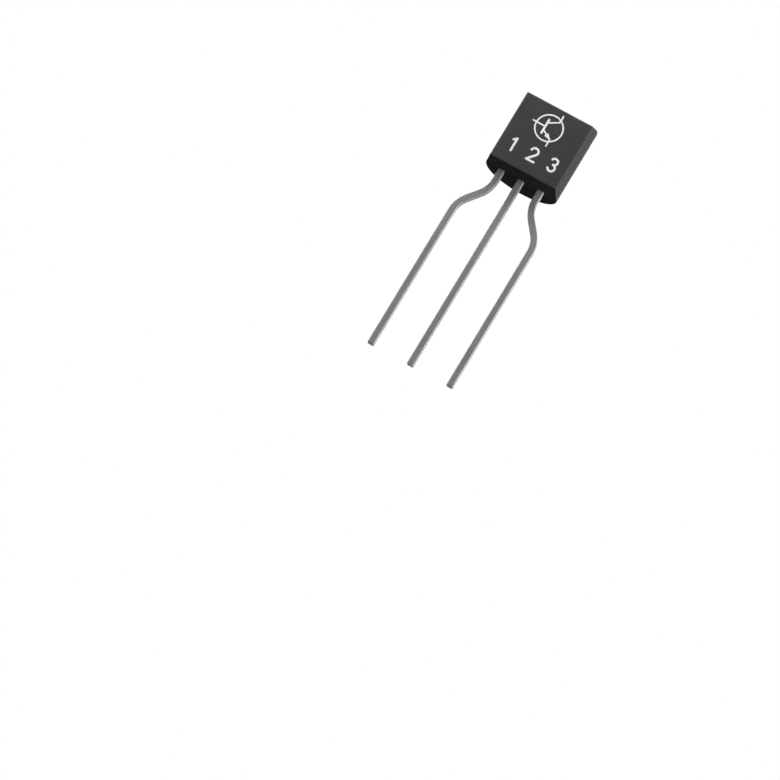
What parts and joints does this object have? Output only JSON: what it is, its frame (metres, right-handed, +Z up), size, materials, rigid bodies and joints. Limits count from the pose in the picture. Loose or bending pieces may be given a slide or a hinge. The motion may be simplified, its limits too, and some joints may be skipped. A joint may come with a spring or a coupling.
{
  "type": "to-92 transistor",
  "caption": "Small transistor in a black moulded D-shaped package with a flat front, a round back and formed leads for a circuit board.",
  "frame": {"origin": "axis of the middle lead, at the height where the formed leads run straight into the board", "axes": "+Z up from the lead tips to the package, -Y out of the flat front, +X to the right seen from the flat front"},
  "size_m": [0.0054, 0.0036, 0.0171],
  "materials": {
    "mould_compound": "satin black, finely grained by the mould",
    "tinned_lead": "satin tin plate",
    "silicon": "polished",
    "attach_paste": "silver-filled, dull",
    "bond_gold": "drawn wire, bright"
  },
  "bodies": {
    "root": {"moulded_body": "mould_compound", "collector_lead": "tinned_lead", "emitter_lead": "tinned_lead", "base_lead": "tinned_lead", "transistor_die": "silicon", "die_attach": "attach_paste", "emitter_bond_wire": "bond_gold", "base_bond_wire": "bond_gold"}
  },
  "joints": []
}
